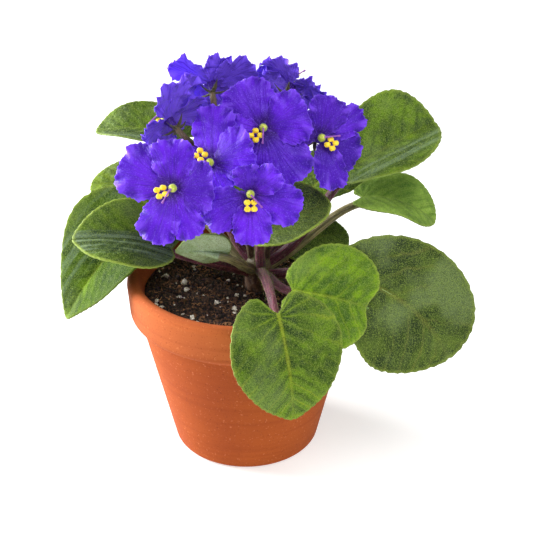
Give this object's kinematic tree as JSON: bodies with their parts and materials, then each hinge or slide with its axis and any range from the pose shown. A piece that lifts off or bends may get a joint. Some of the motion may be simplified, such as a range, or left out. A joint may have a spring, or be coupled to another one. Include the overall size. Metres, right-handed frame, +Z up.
{
  "type": "potted african violet",
  "caption": "African violet in a terracotta pot: a rosette of round hairy leaves on long stalks under a cluster of frilled violet blooms",
  "frame": {"origin": "centre of the pot's flat foot, on the surface that it stands on", "axes": "+Z up; -Y is the front, where most blooms face; +X is to the right of the front"},
  "size_m": [0.1885, 0.1647, 0.1848],
  "materials": {
    "terracotta": "matt, unglazed",
    "soil": "rough, moist fibres",
    "leaf": "hairy",
    "leaf_stalk": "hairy",
    "flower_stalk": "hairy",
    "petal": "soft sheen",
    "pistil": "satin",
    "pollen": "matt"
  },
  "bodies": {
    "root": {"pot": "terracotta", "soil": "soil", "crown_and_leaf_stalks": "leaf_stalk", "leaf_front": "leaf", "leaf_front_right": "leaf", "leaf_right_large": "leaf", "leaf_right_low": "leaf", "leaf_right_middle": "leaf", "leaf_right_high": "leaf", "leaf_inner_right": "leaf", "leaf_inner_left": "leaf", "leaf_left_middle": "leaf", "leaf_left_low": "leaf", "leaf_left_back": "leaf", "leaf_left_high": "leaf", "leaf_back_left": "leaf", "leaf_back": "leaf", "leaf_back_right": "leaf", "leaf_back_left_low": "leaf", "flower_stalk_left": "flower_stalk", "flower_stalk_middle": "flower_stalk", "flower_stalk_right": "flower_stalk", "bloom_front_left_corolla": "petal", "bloom_front_left_pistil": "pistil", "bloom_front_left_pollen": "pollen", "bloom_middle_corolla": "petal", "bloom_middle_pistil": "pistil", "bloom_middle_pollen": "pollen", "bloom_top_middle_corolla": "petal", "bloom_top_middle_pistil": "pistil", "bloom_top_middle_pollen": "pollen", "bloom_front_corolla": "petal", "bloom_front_pistil": "pistil", "bloom_front_pollen": "pollen", "bloom_right_corolla": "petal", "bloom_right_pistil": "pistil", "bloom_right_pollen": "pollen", "bloom_left_corolla": "petal", "bloom_left_pistil": "pistil", "bloom_left_pollen": "pollen", "bloom_top_left_corolla": "petal", "bloom_top_left_pistil": "pistil", "bloom_top_left_pollen": "pollen", "bloom_top_right_corolla": "petal", "bloom_top_right_pistil": "pistil", "bloom_top_right_pollen": "pollen", "bloom_back_corolla": "petal", "bloom_back_pistil": "pistil", "bloom_back_pollen": "pollen"}
  },
  "joints": []
}
